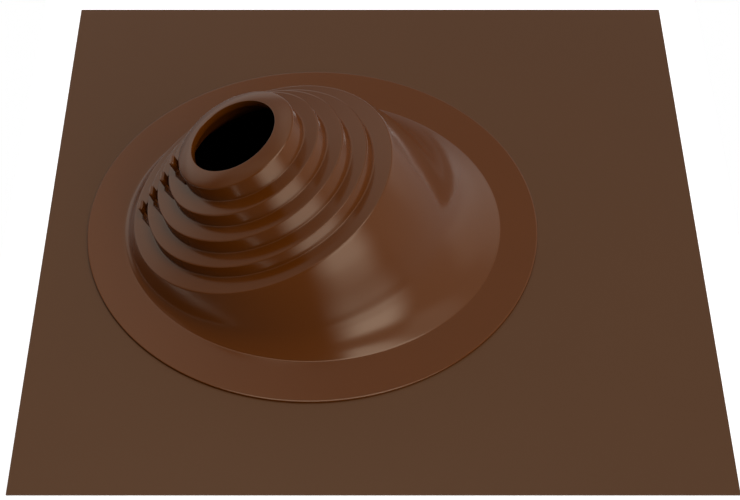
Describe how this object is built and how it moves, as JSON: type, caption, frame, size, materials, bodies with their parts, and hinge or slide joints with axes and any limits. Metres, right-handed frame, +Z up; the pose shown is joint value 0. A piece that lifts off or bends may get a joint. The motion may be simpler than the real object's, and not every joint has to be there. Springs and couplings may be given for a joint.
{
  "type": "pipe flashing boot",
  "caption": "Angled stepped rubber boot on a flat metal sheet, sealing a round pipe where it passes through a sloping roof.",
  "frame": {"origin": "centre of the sheet's outline, on its underside", "axes": "+Z up out of the sheet, -X the side the cone leans to, Y along the sheet's other edge"},
  "size_m": [0.55, 0.557, 0.1236],
  "materials": {
    "painted_sheet": "satin brown coat on thin metal sheet",
    "boot_rubber": "smooth satin brown moulded silicone rubber"
  },
  "bodies": {
    "root": {"flashing_sheet": "painted_sheet", "rubber_boot": "boot_rubber"}
  },
  "joints": []
}
